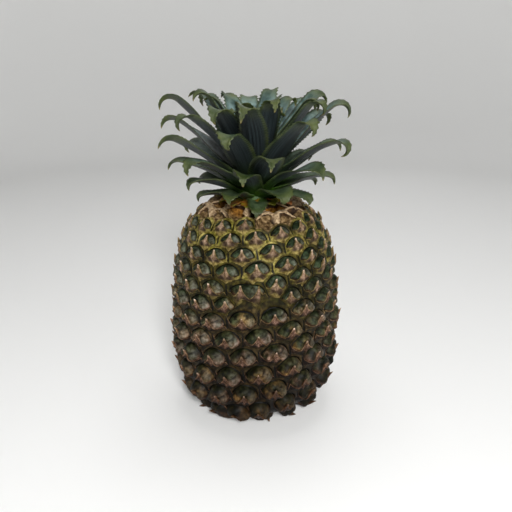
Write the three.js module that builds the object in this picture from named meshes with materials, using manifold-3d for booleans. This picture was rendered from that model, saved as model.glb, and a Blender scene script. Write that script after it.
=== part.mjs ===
// A whole pineapple standing upright: a fruit of spiralling eyes under a crown of arching leaves.
// Sizes are in millimetres, +Z is up, and the origin is the middle of the flat foot.
import * as THREE from 'three';
import { ConvexHull } from 'three/addons/math/ConvexHull.js';
import { mergeVertices } from 'three/addons/utils/BufferGeometryUtils.js';
import Module from 'manifold-3d';

// Outline of the fruit
const FRUIT_HEIGHT = 165;
const FRUIT_RADIUS = 63.9;
const SQUARENESS = 2.26; // higher keeps the flanks straighter
const ROUNDNESS = 0.207; // lower keeps the shoulders fuller
const TAPER = 0.05; // share of its width that the fruit loses from foot to top
const OUTLINE_STEPS = 3000;
const TINY = 1e-6; // keeps divisions clear of zero at the poles

// Eyes, numbered down the spiral, with 0 at the front of the shoulder
const EYE_TURN = THREE.MathUtils.degToRad(95.28);
const FRONT_TURN = THREE.MathUtils.degToRad(1.2);
const FIRST_EYE = -40;
const LAST_EYE = 187;
const SHOULDER_AREA = 8680; // skin above eye 0
const EYE_AREA = 190; // skin of one eye at the shoulder
const EYE_GROWTH = 0.0034; // share by which the eyes grow with each number
const TWIN_EYES = [53, 68]; // two eyes grown into one wide one
const TWIN_SPACING = 12;
const TWIN_DROP = 0.15; // where the pair sits, from the upper eye's place to the lower one's
const COLLAR_END = -15; // eyes above this number are the dry cups round the crown
const COLLAR_FADE = 4; // eyes over which the cups turn into green eyes
const EYE_SEED = 7;
const EYE_DRIFT = 0.5; // how far an eye may sit off the spiral
const VIGOUR_SPREAD = 0.16; // share by which the relief of the eyes differs
const TIP_SWERVE = 0.9; // how far a bract's tip may stand to one side

// Relief of an eye of typical size, measured from the outline
const TYPICAL_EYE = 300; // skin area
const GROOVE = -3;
const DOME_EDGE = 1.4;
const DOME_TOP = 1.9;
const BRACT_RIDGE = 4;
const BRACT_TIP = 6;
const BRACT_LEAN = 4.8; // how far the free tip points up the fruit
const CUP_RIM = 3.2;
const CUP_FLOOR = -0.6;
const DOME_SHARE = 0.74;
const BRACT_SHARE = 0.34;
const FOOT_FADE = 8; // height over which the relief dies away to the flat foot

// Crown
const SEAT_GAP = 0.3;
const CORE_RADIUS = 15;
const CORE_TOP = 200;
const LEAVES = 56;
const CROWN_SEED = 30;
const LEAF_TURN = THREE.MathUtils.degToRad(137.51);
const FIRST_LEAF = THREE.MathUtils.degToRad(275.9);
const LEAF_STEP = 19; // length of one straight stretch of a leaf, up to its hooked tip
const STEPS_AT_LEAST = 2;
const HOOK_STEPS = 4;
const ROOT_HEIGHT = [169.6, 194]; // outermost and innermost leaf
const ROOT_RADIUS = [13, 5];
// From the outermost leaf to the innermost, as the four controls of a Bezier curve
const LEAF_LENGTH = [32, 60, 140, 32];
const LEAF_RISE = [14, 44, 53, 78];
const LEAF_ARCH = [40, 30, 18, 5]; // how far it leans over along its length
const LEAF_HOOK = [90, 150, 165, 120]; // how far its tip hooks down besides
const LEAF_WIDTH = [14, 20, 22, 14];
const ARCH_POWER = 1.5;
const HOOK_POWER = 1.2;
const HOOK_FROM = 0.78; // share of the leaf where its hook begins
const CLAW_FROM = 0.84; // share of the leaf where it narrows to a claw
const CLAW_BY = 0.95;
const CLAW_WIDTH = 0.42;
const ROOT_WIDTH = 0.85; // share of its width that a leaf has at its root
const BELLY = 0.6;
const BLUNTNESS = 5; // higher keeps the leaf wide up to its tip
const TIP_ROUNDING = 0.7;
const EDGE_WAVE = 0.12; // height of the waves in a leaf's edges, as a share of half its width
const WAVE_RATE = 9;
// How much one leaf may differ from its neighbours on the spiral
const LEAF_SPREAD = {
  turn: 0.05, length: 0.05, rise: 0.05, arch: 0.15, hook: 0.35, width: 0.08, sway: 0.14, twist: 0.3,
};
// Outline of the stem, as shares of its radius and of its height
const CORE_OUTLINE = [[0, 0], [1, 0], [0.85, 0.35], [0.4, 0.8], [0, 1]];
const CORE_SIDES = 20;
const LEAF_THICKNESS = [2.4, 0.9]; // at the root and near the tip
const CHANNEL = 0.3; // rise of the leaf's edges over its middle, as a share of half its width
const SAME_POINT = 1e-4; // points closer than this are one
const SHORTEST_EDGE = 0.05; // slivers under this size, left where leaves cross, are closed up

const MATERIALS = {
  rind: new THREE.MeshStandardMaterial({ color: 0x746b4c, roughness: 0.55, metalness: 0 }),
  leaf: new THREE.MeshStandardMaterial({ color: 0x5f7062, roughness: 0.6, metalness: 0 }),
};

const lerp = THREE.MathUtils.lerp;
const smoothstep = THREE.MathUtils.smoothstep;

// Seeded draws, so that every build gives the same fruit
function drawer(seed) {
  let state = seed;
  return (spread) => {
    state = (Math.imul(state, 1664525) + 1013904223) >>> 0;
    return (state / 2 ** 31 - 1) * spread;
  };
}

// The outline from the top of the axis to its foot: running length, radius, height, skin area
// above, and the running length over radius that maps the skin to a globe without distortion.
function traceOutline() {
  const rows = [];
  for (let i = 0; i <= OUTLINE_STEPS; i++) {
    const t = (1 + Math.cos((Math.PI * i) / OUTLINE_STEPS)) / 2;
    const full = Math.max(0, 1 - Math.abs(1 - 2 * t) ** SQUARENESS) ** ROUNDNESS;
    const r = FRUIT_RADIUS * full * (1 - TAPER * t);
    const z = FRUIT_HEIGHT * t;
    const row = { s: 0, r, z, area: 0, globe: 0 };
    const last = rows.at(-1);
    if (last) {
      const step = Math.hypot(r - last.r, z - last.z);
      const middle = Math.max((r + last.r) / 2, TINY);
      row.s = last.s + step;
      row.area = last.area + 2 * Math.PI * middle * step;
      row.globe = last.globe + step / middle;
    }
    rows.push(row);
  }
  return rows;
}

const OUTLINE = traceOutline();
const SKIN_LENGTH = OUTLINE.at(-1).s;

// The outline where one of its values, which grow from the top down, reaches a given amount
function outlineAt(key, value) {
  let low = 0;
  let high = OUTLINE.length - 1;
  while (high - low > 1) {
    const middle = (low + high) >> 1;
    if (OUTLINE[middle][key] <= value) low = middle;
    else high = middle;
  }
  const a = OUTLINE[low];
  const b = OUTLINE[high];
  const share = THREE.MathUtils.clamp((value - a[key]) / (b[key] - a[key]), 0, 1);
  const at = { slopeR: (b.r - a.r) / (b.s - a.s), slopeZ: (b.z - a.z) / (b.s - a.s) };
  for (const name of Object.keys(a)) at[name] = lerp(a[name], b[name], share);
  return at;
}

// A point of the skin, by its running length and its turn from the front, lifted off the outline
function skinPoint(s, turn, lift, lean = 0) {
  const at = outlineAt('s', THREE.MathUtils.clamp(s, 0, SKIN_LENGTH));
  const fade = smoothstep(at.z, 0, FOOT_FADE);
  const out = -at.slopeZ * lift - at.slopeR * lean * fade;
  const up = at.slopeR * lift - at.slopeZ * lean * fade;
  const r = at.r + out;
  const z = Math.max(0, at.z + (up < 0 ? up * fade : up));
  return new THREE.Vector3(r * Math.sin(turn), -r * Math.cos(turn), z);
}

function eyeAt(number, draw) {
  const area = SHOULDER_AREA + EYE_AREA * number * (1 + EYE_GROWTH * number);
  const at = outlineAt('area', area);
  const size = Math.sqrt((EYE_AREA * (1 + 2 * EYE_GROWTH * number)) / TYPICAL_EYE);
  return {
    number,
    s: at.s + draw(EYE_DRIFT),
    turn: FRONT_TURN - number * EYE_TURN + draw(EYE_DRIFT) / at.r,
    size,
    vigour: 1 + draw(VIGOUR_SPREAD),
    swerve: draw(TIP_SWERVE),
  };
}

// The twin eyes leave their places on the spiral and sit side by side
function setTwins(eyes) {
  const [left, right] = TWIN_EYES.map((number) => eyes.find((eye) => eye.number === number));
  const s = lerp(left.s, right.s, TWIN_DROP);
  const between = wrap(left.turn - right.turn) / 2;
  const middle = right.turn + between;
  const half = TWIN_SPACING / 2 / outlineAt('s', s).r;
  const side = Math.sign(between);
  Object.assign(left, { s, turn: middle + side * half });
  Object.assign(right, { s, turn: middle - side * half });
}

function wrap(angle) {
  return angle - 2 * Math.PI * Math.round(angle / (2 * Math.PI));
}

function placeEyes() {
  const draw = drawer(EYE_SEED);
  const eyes = [];
  for (let number = FIRST_EYE; number <= LAST_EYE; number++) eyes.push(eyeAt(number, draw));
  setTwins(eyes);
  return eyes;
}

// Each eye's place on the globe, where the hull of all places joins neighbours
function globePoint(eye) {
  const equator = outlineAt('area', OUTLINE.at(-1).area / 2).globe;
  const latitude = equator - outlineAt('s', eye.s).globe;
  const ring = 1 / Math.cosh(latitude);
  return new THREE.Vector3(ring * Math.cos(eye.turn), ring * Math.sin(eye.turn), Math.tanh(latitude));
}

// Where three neighbouring eyes meet, a corner shared by their cells
function corner(three, anchor) {
  const turns = three.filter((eye) => !eye.pole).map((eye) => anchor + wrap(eye.turn - anchor));
  return {
    s: three.reduce((sum, eye) => sum + eye.s, 0) / 3,
    turn: turns.reduce((sum, turn) => sum + turn, 0) / turns.length,
    pole: three.find((eye) => eye.pole),
    cup: three.reduce((sum, eye) => sum + collarShare(eye), 0) / 3,
  };
}

function joinNeighbours(eyes) {
  const top = { s: 0, turn: 0, pole: 'seat', corners: [] };
  const foot = { s: SKIN_LENGTH, turn: 0, pole: 'foot', corners: [] };
  const all = [...eyes, top, foot];
  const points = eyes.map(globePoint);
  points.push(new THREE.Vector3(0, 0, 1), new THREE.Vector3(0, 0, -1));
  const order = new Map(points.map((point, i) => [point, i]));
  for (const eye of eyes) eye.corners = [];
  for (const face of new ConvexHull().setFromPoints(points).faces) {
    const three = [0, 1, 2].map((i) => all[order.get(face.getEdge(i).head().point)]);
    const anchor = three.find((eye) => !eye.pole).turn;
    const shared = corner(three, anchor);
    for (const eye of three) eye.corners.push(shared);
  }
  for (const eye of all) sortCorners(eye);
  return { top, foot };
}

// Corners in order round their eye, seen from outside
function sortCorners(eye) {
  const r = outlineAt('s', eye.s).r;
  const bearing = (shared) => {
    if (eye.pole) return eye.pole === 'seat' ? shared.turn % (2 * Math.PI) : -shared.turn % (2 * Math.PI);
    return Math.atan2(eye.s - shared.s, wrap(shared.turn - eye.turn) * r);
  };
  const full = (angle) => (angle + 4 * Math.PI) % (2 * Math.PI);
  eye.corners.sort((a, b) => full(bearing(a)) - full(bearing(b)));
}

// How far an eye is one of the dry cups under the crown, from 0 to 1
function collarShare(eye) {
  if (eye.pole) return eye.pole === 'seat' ? 1 : 0;
  return 1 - smoothstep(eye.number, COLLAR_END - COLLAR_FADE, COLLAR_END);
}

// Heights of an eye's rings at one spoke; upward is 1 towards the crown and -1 towards the foot
function ringLifts(eye, upward) {
  const cup = collarShare(eye);
  const scale = eye.size * eye.vigour;
  const edge = lerp(DOME_EDGE, CUP_RIM, cup);
  const bract = lerp(DOME_TOP, BRACT_RIDGE, (1 - upward) / 2);
  return { edge: edge * scale, inner: lerp(bract, CUP_FLOOR, cup) * scale };
}

class SkinMesh {
  constructor() {
    this.points = [];
    this.triangles = [];
  }

  add(point) {
    this.points.push(point);
    return this.points.length - 1;
  }

  face(a, b, c) {
    this.triangles.push(a, b, c);
  }

  // A band of triangles between two rings of as many points
  band(outer, inner) {
    outer.forEach((a, i) => {
      const next = (i + 1) % outer.length;
      this.face(a, outer[next], inner[i]);
      this.face(outer[next], inner[next], inner[i]);
    });
  }

  fan(ring, middle) {
    ring.forEach((a, i) => this.face(a, ring[(i + 1) % ring.length], middle));
  }

  geometry() {
    const geometry = new THREE.BufferGeometry().setFromPoints(this.points);
    geometry.setIndex(this.triangles);
    return geometry;
  }
}

function cornerVertex(mesh, shared) {
  if (shared.vertex === undefined) {
    const lift = shared.pole ? 0 : lerp(GROOVE, GROOVE / 2, shared.cup);
    const point = skinPoint(shared.s, shared.turn, lift);
    if (shared.pole) point.z = shared.pole.pole === 'seat' ? FRUIT_HEIGHT : 0;
    shared.vertex = mesh.add(point);
  }
  return shared.vertex;
}

function addEye(mesh, eye) {
  const outer = eye.corners.map((shared) => cornerVertex(mesh, shared));
  const edge = [];
  const inner = [];
  for (const shared of eye.corners) {
    const down = shared.s - eye.s;
    const across = wrap(shared.turn - eye.turn);
    const reach = Math.hypot(down, across * outlineAt('s', eye.s).r);
    const lifts = ringLifts(eye, -down / reach);
    const towards = (share, lift) => skinPoint(eye.s + down * share, eye.turn + across * share, lift);
    edge.push(mesh.add(towards(DOME_SHARE, lifts.edge)));
    inner.push(mesh.add(towards(BRACT_SHARE, lifts.inner)));
  }
  mesh.band(outer, edge);
  mesh.band(edge, inner);
  mesh.fan(inner, mesh.add(bractTip(eye)));
}

function bractTip(eye) {
  const cup = collarShare(eye);
  const scale = eye.size * eye.vigour;
  const lift = lerp(BRACT_TIP, CUP_FLOOR, cup) * scale;
  const lean = BRACT_LEAN * scale * (1 - cup);
  const swerve = eye.swerve / outlineAt('s', eye.s).r;
  return skinPoint(eye.s, eye.turn + swerve, lift, lean);
}

function fruitGeometry() {
  const eyes = placeEyes();
  const { top, foot } = joinNeighbours(eyes);
  const mesh = new SkinMesh();
  for (const eye of eyes) addEye(mesh, eye);
  mesh.fan(top.corners.map((shared) => shared.vertex), mesh.add(new THREE.Vector3(0, 0, FRUIT_HEIGHT)));
  mesh.fan(foot.corners.map((shared) => shared.vertex), mesh.add(new THREE.Vector3(0, 0, 0)));
  return mesh.geometry();
}

// A value that runs from the outermost leaf to the innermost by its four controls
function alongCrown([a, b, c, d], q) {
  const p = 1 - q;
  return a * p ** 3 + 3 * b * q * p ** 2 + 3 * c * q ** 2 * p + d * q ** 3;
}

// A leaf's steepness: it arches over along its length, and its tip hooks down
function riseAlong(leaf, share) {
  const hooked = Math.max(share - HOOK_FROM, 0) / (1 - HOOK_FROM);
  return leaf.rise - leaf.arch * share ** ARCH_POWER - leaf.hook * hooked ** HOOK_POWER;
}

// Where a leaf bends, as shares of its length: a few long stretches, and short ones round the hook
function bendsAlong(leaf) {
  const straight = Math.max(STEPS_AT_LEAST, Math.round((leaf.length * HOOK_FROM) / LEAF_STEP));
  const shares = [];
  for (let i = 0; i < straight; i++) {
    shares.push((HOOK_FROM * i) / straight);
  }
  for (let i = 0; i <= HOOK_STEPS; i++) {
    shares.push(lerp(HOOK_FROM, 1, i / HOOK_STEPS));
  }
  return shares;
}

// Points down the middle of a leaf, with its steepness there, from root to tip
function leafSpine(leaf) {
  const stations = [];
  let r = leaf.rootRadius;
  let z = leaf.rootHeight;
  let last = 0;
  for (const share of bendsAlong(leaf)) {
    const ahead = riseAlong(leaf, (last + share) / 2);
    r += Math.cos(ahead) * leaf.length * (share - last);
    z += Math.sin(ahead) * leaf.length * (share - last);
    stations.push({ share, r, z, angle: riseAlong(leaf, share), turn: leaf.turn + leaf.sway * share ** 2 });
    last = share;
  }
  return stations;
}

function leafWidthAt(share) {
  const belly = ROOT_WIDTH + BELLY * share * (1 - share);
  const tip = (1 - share ** BLUNTNESS) ** TIP_ROUNDING;
  return belly * tip * lerp(1, CLAW_WIDTH, smoothstep(share, CLAW_FROM, CLAW_BY));
}

// Left edge, channel, right edge and underside of the leaf at one station
function leafSection(leaf, at) {
  const out = new THREE.Vector3(Math.cos(at.turn), Math.sin(at.turn), 0);
  const up = new THREE.Vector3(0, 0, 1);
  const across = new THREE.Vector3().crossVectors(up, out);
  const along = out.clone().multiplyScalar(Math.cos(at.angle)).addScaledVector(up, Math.sin(at.angle));
  across.applyAxisAngle(along, leaf.twist * at.share);
  const face = new THREE.Vector3().crossVectors(along, across);
  const middle = out.multiplyScalar(at.r).setZ(at.z);
  const half = (leaf.width / 2) * leafWidthAt(at.share);
  const rise = half * CHANNEL;
  const wave = half * EDGE_WAVE * Math.sin(leaf.wave + at.share * WAVE_RATE);
  const depth = lerp(LEAF_THICKNESS[0], LEAF_THICKNESS[1], at.share);
  return [
    middle.clone().addScaledVector(across, half).addScaledVector(face, rise + wave),
    middle.clone(),
    middle.clone().addScaledVector(across, -half).addScaledVector(face, rise - wave),
    middle.clone().addScaledVector(face, -depth),
  ];
}

function leafGeometry(leaf) {
  const mesh = new SkinMesh();
  const spine = leafSpine(leaf);
  const rings = spine.slice(0, -1).map((at) => leafSection(leaf, at).map((point) => mesh.add(point)));
  const end = spine.at(-1);
  const tip = mesh.add(new THREE.Vector3(end.r * Math.cos(end.turn), end.r * Math.sin(end.turn), end.z));
  const [left, top, right, under] = rings[0];
  mesh.face(left, under, top);
  mesh.face(top, under, right);
  rings.slice(1).forEach((ahead, i) => addLeafStep(mesh, rings[i], ahead));
  addLeafTip(mesh, rings.at(-1), tip);
  return mesh.geometry();
}

// The upper and the lower face of one step are split along matching diagonals
function addLeafStep(mesh, [left, top, right, under], [left2, top2, right2, under2]) {
  mesh.face(left, top, left2);
  mesh.face(top, top2, left2);
  mesh.face(top, right, right2);
  mesh.face(top, right2, top2);
  mesh.face(under, left, left2);
  mesh.face(under, left2, under2);
  mesh.face(right, under, right2);
  mesh.face(under, under2, right2);
}

function addLeafTip(mesh, [left, top, right, under], tip) {
  mesh.face(left, top, tip);
  mesh.face(top, right, tip);
  mesh.face(right, under, tip);
  mesh.face(under, left, tip);
}

function leafSettings(index, draw) {
  const q = index / (LEAVES - 1);
  return {
    turn: FIRST_LEAF + index * LEAF_TURN + draw(LEAF_SPREAD.turn),
    rootRadius: lerp(ROOT_RADIUS[0], ROOT_RADIUS[1], q),
    rootHeight: lerp(ROOT_HEIGHT[0], ROOT_HEIGHT[1], q),
    length: alongCrown(LEAF_LENGTH, q) * (1 + draw(LEAF_SPREAD.length)),
    rise: THREE.MathUtils.degToRad(alongCrown(LEAF_RISE, q)) + draw(LEAF_SPREAD.rise),
    arch: THREE.MathUtils.degToRad(alongCrown(LEAF_ARCH, q)) + draw(LEAF_SPREAD.arch),
    hook: THREE.MathUtils.degToRad(alongCrown(LEAF_HOOK, q)) * (1 + draw(LEAF_SPREAD.hook)),
    width: alongCrown(LEAF_WIDTH, q) * (1 + draw(LEAF_SPREAD.width)),
    sway: draw(LEAF_SPREAD.sway),
    twist: draw(LEAF_SPREAD.twist),
    wave: draw(Math.PI),
  };
}

function coreGeometry() {
  const base = FRUIT_HEIGHT + SEAT_GAP;
  const profile = CORE_OUTLINE.map(([r, z]) => new THREE.Vector2(r * CORE_RADIUS, lerp(base, CORE_TOP, z)));
  return new THREE.LatheGeometry(profile, CORE_SIDES).rotateX(Math.PI / 2);
}

const wasm = await Module();
wasm.setup();

function toSolid(geometry) {
  geometry.deleteAttribute('normal');
  geometry.deleteAttribute('uv');
  const merged = mergeVertices(geometry, SAME_POINT);
  const vertProperties = new Float32Array(merged.attributes.position.array);
  const triVerts = new Uint32Array(merged.index.array);
  return new wasm.Manifold(new wasm.Mesh({ numProp: 3, vertProperties, triVerts }));
}

function toGeometry(solid) {
  const { vertProperties, triVerts } = solid.getMesh();
  const geometry = new THREE.BufferGeometry();
  geometry.setAttribute('position', new THREE.BufferAttribute(vertProperties, 3));
  geometry.setIndex(new THREE.BufferAttribute(triVerts, 1));
  return geometry;
}

// Leaves and core grown into one body, without the sealed pockets between leaf roots
function crownGeometry() {
  const draw = drawer(CROWN_SEED);
  let crown = toSolid(coreGeometry());
  for (let index = 0; index < LEAVES; index++) {
    crown = crown.add(toSolid(leafGeometry(leafSettings(index, draw))));
  }
  const bodies = crown.simplify(SHORTEST_EDGE).decompose().sort((a, b) => b.volume() - a.volume());
  return toGeometry(bodies[0]);
}

const pineapple = new THREE.Group();

function addPiece(name, geometry, material) {
  const mesh = new THREE.Mesh(geometry, material);
  geometry.computeVertexNormals();
  mesh.name = name;
  pineapple.add(mesh);
}

addPiece('fruit', fruitGeometry(), MATERIALS.rind);
addPiece('crown', crownGeometry(), MATERIALS.leaf);

export default pineapple;
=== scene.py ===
# A whole pineapple as it looks: domed eyes under pointed bracts, a dry collar and a leafy crown.
# Sizes are in millimetres and angles in radians, and each mesh becomes metres as it is made.
import math
from types import SimpleNamespace

import bmesh
import bpy
import numpy as np
from mathutils import Matrix, Vector


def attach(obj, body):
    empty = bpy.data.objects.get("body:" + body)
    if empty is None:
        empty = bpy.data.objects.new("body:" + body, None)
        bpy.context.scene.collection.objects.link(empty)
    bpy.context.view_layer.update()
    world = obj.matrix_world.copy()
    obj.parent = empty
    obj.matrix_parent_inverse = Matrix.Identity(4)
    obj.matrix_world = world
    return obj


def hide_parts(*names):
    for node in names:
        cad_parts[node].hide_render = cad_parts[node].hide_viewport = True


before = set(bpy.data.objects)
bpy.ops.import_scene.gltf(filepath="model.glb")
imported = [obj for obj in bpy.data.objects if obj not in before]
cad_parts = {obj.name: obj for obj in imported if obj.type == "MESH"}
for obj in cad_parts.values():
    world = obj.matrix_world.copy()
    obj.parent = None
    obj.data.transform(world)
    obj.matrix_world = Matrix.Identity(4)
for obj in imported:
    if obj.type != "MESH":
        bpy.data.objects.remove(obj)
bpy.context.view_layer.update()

MM = 0.001
TINY = 1e-6

# Outline of the fruit
FRUIT_HEIGHT = 165
FRUIT_RADIUS = 63.9
SQUARENESS = 2.26
ROUNDNESS = 0.207
TAPER = 0.05
OUTLINE_STEPS = 3000

# Places of the eyes, numbered down the spiral
EYE_TURN = math.radians(95.28)
FRONT_TURN = math.radians(1.2)
FIRST_EYE = -40
LAST_EYE = 187
SHOULDER_AREA = 8680
EYE_AREA = 190
EYE_GROWTH = 0.0034
TYPICAL_EYE = 300  # area of an eye whose size is 1
TWIN_EYES = (53, 68)
TWINS = [number - FIRST_EYE for number in TWIN_EYES]  # their places in the list of eyes
TWIN_SPACING = 12
TWIN_DROP = 0.15
COLLAR_END = -15
COLLAR_FADE = 4
DRY_FROM = 0.5  # cup value from which an eye has a dry hood instead of a bract
EYE_SEED = 7
EYE_DRIFT = 0.5
VIGOUR_SPREAD = 0.16
TIP_SWERVE = 0.9
FOOT_FADE = 8
FOOT_HOLLOW = 2.5
FOOT_HOLLOW_RADIUS = 24
FOOT_HOLLOW_FADE = 8

# Cells, where a pair holds a value at the shoulder and one low on the fruit
RIPE_FROM, RIPE_TO = 5, 150  # eye numbers between which the look changes
SKIN = (0.3, -0.7)  # level where one eye's skin meets the next
EDGE_SPLITS = 6
EDGE_BULGE = 1.3  # how far the top of a cell arches up
# painted shade along the seams between cells, at the shoulder and low on the fruit
SEAM_DARKNESS = (0.85, 1.0)
CORNER_SEAM = 0.5  # share of that darkness where three cells meet
RIM = 2.0  # height of the dry cups' rims
RIM_GAIN, RIM_LAG = 1.5, 0.25  # how soon the rims take over where the cups begin
CUP_FLOOR = -3.4
CUP_SIDE = 0.4  # height where a cup's hollow ends and its rim begins
CUP_REACH = 0.8
CUP_CURVE = (4, 0.45)  # powers of the hollow's slope and the rim's

# Domes, whose arches are given as flatness and fullness
HEART = 0.9  # how far the middle of a dome lies above its cell's
DOME = (2.6, 5.4)
DOME_ARCH = (2.8, 0.62)
DOME_WIDTH = (0.8, 0.88)  # width of a dome as a share of its cell's
DOME_TOP = (0.82, 0.9)  # share of the way up to its cell's edge
DOME_RISE = 8.6  # how far up a dome may reach where its cell is tall
TWIN_RISE = 6.2
BROW_ARCH = (2.3, 0.6)
LENS_ARCH = (2, 0.7)
LENS_DEPTH = (0.4, 0.42)
LENS_SIDE = (-0.2, 0.0)  # height of the dome's side corners over the cell's middle
LENS_SAMPLES = 200
REACH_LIMITS = (0.3, 0.92)  # least and most reach of a dome, as shares of the way out
BAND_SIDE, BAND_MIDDLE = 0.25, 1.3  # least band below a dome, and what its middle adds
CREASE = (1.5, 2.4)  # depth of the crease between a dome and the skin round it
CREASE_REACH = 0.22  # of the way from a dome to its cell's edge
CREASE_FADE = 0.13  # the same for its painted shade
VALLEY = (0.8, 3.9)  # dip between the two lobes of a dome, where the bract lies
VALLEY_WIDTH = 2.8
VALLEY_TOP, VALLEY_FADE = 0.75, 8
SUTURE = (0.3, 1.3)  # depth of the seams where a dome's lobes meet
SUTURE_TURNS = (math.radians(40), math.radians(140))
SUTURE_SLANT = 0.6
SUTURE_WIDTH = 0.17
SUTURE_CURVE = (0.5, 6)  # powers of a seam's growth and of its end
# painted shade along the seams between a dome's lobes
SUTURE_DARKNESS = 0.6
RING_INNER = np.array([1, 0.94, 0.86, 0.76, 0.62, 0.45, 0.25])  # rings of vertices, as shares
RING_OUTER = np.array([0.6, 0.3, 0.14])
NET_LOOKS = {"dome": 0, "inside": 0, "side": 0, "up": 0}
MIDDLE_LOOKS = {"dome": 1, "inside": 1, "side": 0, "up": 0, "crease": 0}
INSIDE_CURVE = 3
UP_REACH = 6

# Bracts
LIP = (1.5, 3.2)
LIP_LEVEL_TO, LIP_FADE = 0.45, 0.5  # shares of the half width where the lip stays up, and sinks
LIP_OVERLAP = 0.9  # how far the skin passes under the lip
LIP_BLEND = 0.2
HIDDEN_DIP = 0.8
TIP = (4.2, 6.0)  # how far the bract's tip stands out
TIP_RISE = (4.6, 4.4)  # how far it lies above its eye's middle
BEAK_HALF = (7.4, 5.8)  # half the beak's width at the lip
BEAK_FLARE = 0.5  # below 1 the beak widens only at its base
BEAK_BLUNTNESS = (0.6, 0.45)  # half the width of its point
BEAK_SWERVE, BEAK_BEND = 0.35, 1.5
BEAK_CURVE = 1.1
BEAK_LEAN = 0.5
SPINE_WIDTH = 0.9
SPINE_HEIGHT = 1.4
BASE_SOFTNESS = 0.5  # how gently the beak's edge runs out into the lip
BAND_SINK = 0.04
BAND_CURVE = (1.3, 1.9)  # how late a bract's face leaves the skin
COVER = (0.65, 0.05)  # least height of a bract over its dome, and at the cell's ends
COVER_FROM = 0.3  # share of the way up where that starts
THICKNESS = (2.2, 0.75)  # of a bract at its foot and its edge
THIN_FROM, THIN_FADE = 0.3, 0.5
KEEL_UP_TO = 0.9  # share of a bract that is filled down to its dome
KEEL_SINK = 0.3
BRACT_STEPS = 12  # columns from a beak's axis to each side
BRACT_CROWDING = 1.8
BRACT_ROWS = np.array([0, 0.07, 0.18, 0.32, 0.48, 0.64, 0.8, 0.92, 1])
UNDER_ROWS = np.array([0.97, 0.82, 0.4, 0])

# Dry hoods of the collar, and the points round their section
HOOD_STEPS = 20
HOOD_INWARD = np.array([-3.2, -2.0, 0.0, 2.0, 3.6, 2.4, 1.6, 1.2])
HOOD_LIFT = np.array([-1.44, 1.56, 3.6, 4.44, 3.84, 2.88, 1.2, -3.6])
# painted light round a hood's section: 1 on its lit crest, 0 on its shaded underside
HOOD_LIGHT = np.array([0.2, 0.5, 0.8, 1.0, 1.0, 0.1, 0.0, 0.0])
HOOD_OUT = 0.4
HOOD_FALL = 0.45  # share of its size that a hood loses towards its ends
HOOD_RAGGED = 0.16
HOOD_RAGGED_LIFT = 0.6
COLLAR_SEED = 91

# Small bumps: height, wavelength and seed of each layer
DOME_BUMPS = ((0.28, 11, 31), (0.12, 4, 32))
CUP_BUMPS = ((0.3, 6, 33), (0.15, 2.6, 34))
BRACT_BUMPS = ((0.14, 5, 41), (0.07, 1.9, 42))
HOOD_BUMPS = ((0.22, 4.5, 51), (0.1, 1.4, 52))
HOOD_WAVER = ((0.5, 4, 53),)

# Crown
SEAT_GAP = 0.3
CORE_RADIUS = 15
CORE_TOP = 200
CORE_SIDES = 48
CORE_PROFILE = (  # radius and height of each ring, as shares
    (0.02, 0), (0.6, 0), (1, 0), (0.98, 0.12), (0.85, 0.35), (0.62, 0.58), (0.4, 0.8), (0.02, 1),
)
CORE_LUMPS = (0.03, 9, 20)  # their height, their number round the stem and their shift up it
LEAVES = 56
CROWN_SEED = 30
LEAF_TURN = math.radians(137.51)
FIRST_LEAF = math.radians(275.9)
ROOT_HEIGHT = (169.6, 194)
ROOT_RADIUS = (13, 5)
LEAF_LENGTH = (32, 60, 140, 32)  # controls of a curve up the crown, as in the next four
LEAF_RISE = (14, 44, 53, 78)
LEAF_ARCH = (40, 30, 18, 5)
LEAF_HOOK = (90, 150, 165, 120)
LEAF_WIDTH = (14, 20, 22, 14)
LEAF_VARIETY = {  # how far leaves differ by chance
    "turn": 0.05, "length": 0.05, "rise": 0.05, "arch": 0.15, "hook": 0.35,
    "width": 0.08, "sway": 0.14, "twist": 0.3, "wave": math.pi,
}
ARCH_CURVE = 1.5
HOOK_FROM = 0.78
HOOK_CURVE = 1.2
ROOT_WIDTH = 0.85
BELLY = 0.6
LEAF_ENDS = (5, 0.7)  # the arch that a leaf's width follows
LEAST_WIDTH = 0.02
EDGE_WAVE = 0.12
WAVE_RATE = 9
CHANNEL = 0.24
CHANNEL_CURVE = 1.5
LEAF_THICKNESS = (2.4, 0.9)
EDGE_THICKNESS = 0.35
LEAF_ACROSS = np.array([1, 0.8, 0.5, 0.2, -0.2, -0.5, -0.8, -1])
TOOTH_SHAPE = (0.0, 0.35, 1.0)
TOOTH_GAP = 2.7
TOOTH_HEIGHT = 1.3
LEAST_TEETH = 8
ROOT_FADE, TIP_FADE = 0.15, 0.08  # shares of a leaf where its teeth grow and end
CLAW_FROM = 0.84  # share of a leaf where its tip starts to narrow
CLAW_FADE = 0.11
CLAW_WIDTH = 0.42
CLAW_CURL = 0.45
SKIRT_LEAVES = 17
SKIRT = {  # middle and spread of each value of the old leaf bases
    "turn": (0, 0.12), "root_height": (168.6, 0.8), "length": (17, 3), "rise": (0.25, 0.15),
    "arch": (0.6, 0.2), "sway": (0, 0.1), "twist": (0, 0.3), "wave": (0, math.pi),
}
SKIRT_ALIKE = {"q": -0.3, "width": 12, "hook": 0.5, "root_radius": ROOT_RADIUS[0]}
CORE_SHADE = 0.2

# Colours
LOW_UP_TO = 105
TOP_BAND = 33  # radius of the orange and green dry skin under the crown
TOP_FADE = 10
SPECK_TINT = (148, 138, 112)  # what darkens the specks
LOW_TINT = (124, 106, 84)  # what darkens the foot: partly its own darker colour, partly painted shade
RIPE_PATCH = 24  # size of riper and less ripe patches
RIPE_SPREAD = 0.7
RIND_BROWNING = 0.4  # how brown the webs turn, as a share of the bracts' brown
DEPTH = 1.35  # power that the colours are raised to, for more contrast
SKIN_SHINE = 0.12
PLAIN_SHINE = 0.5

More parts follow.
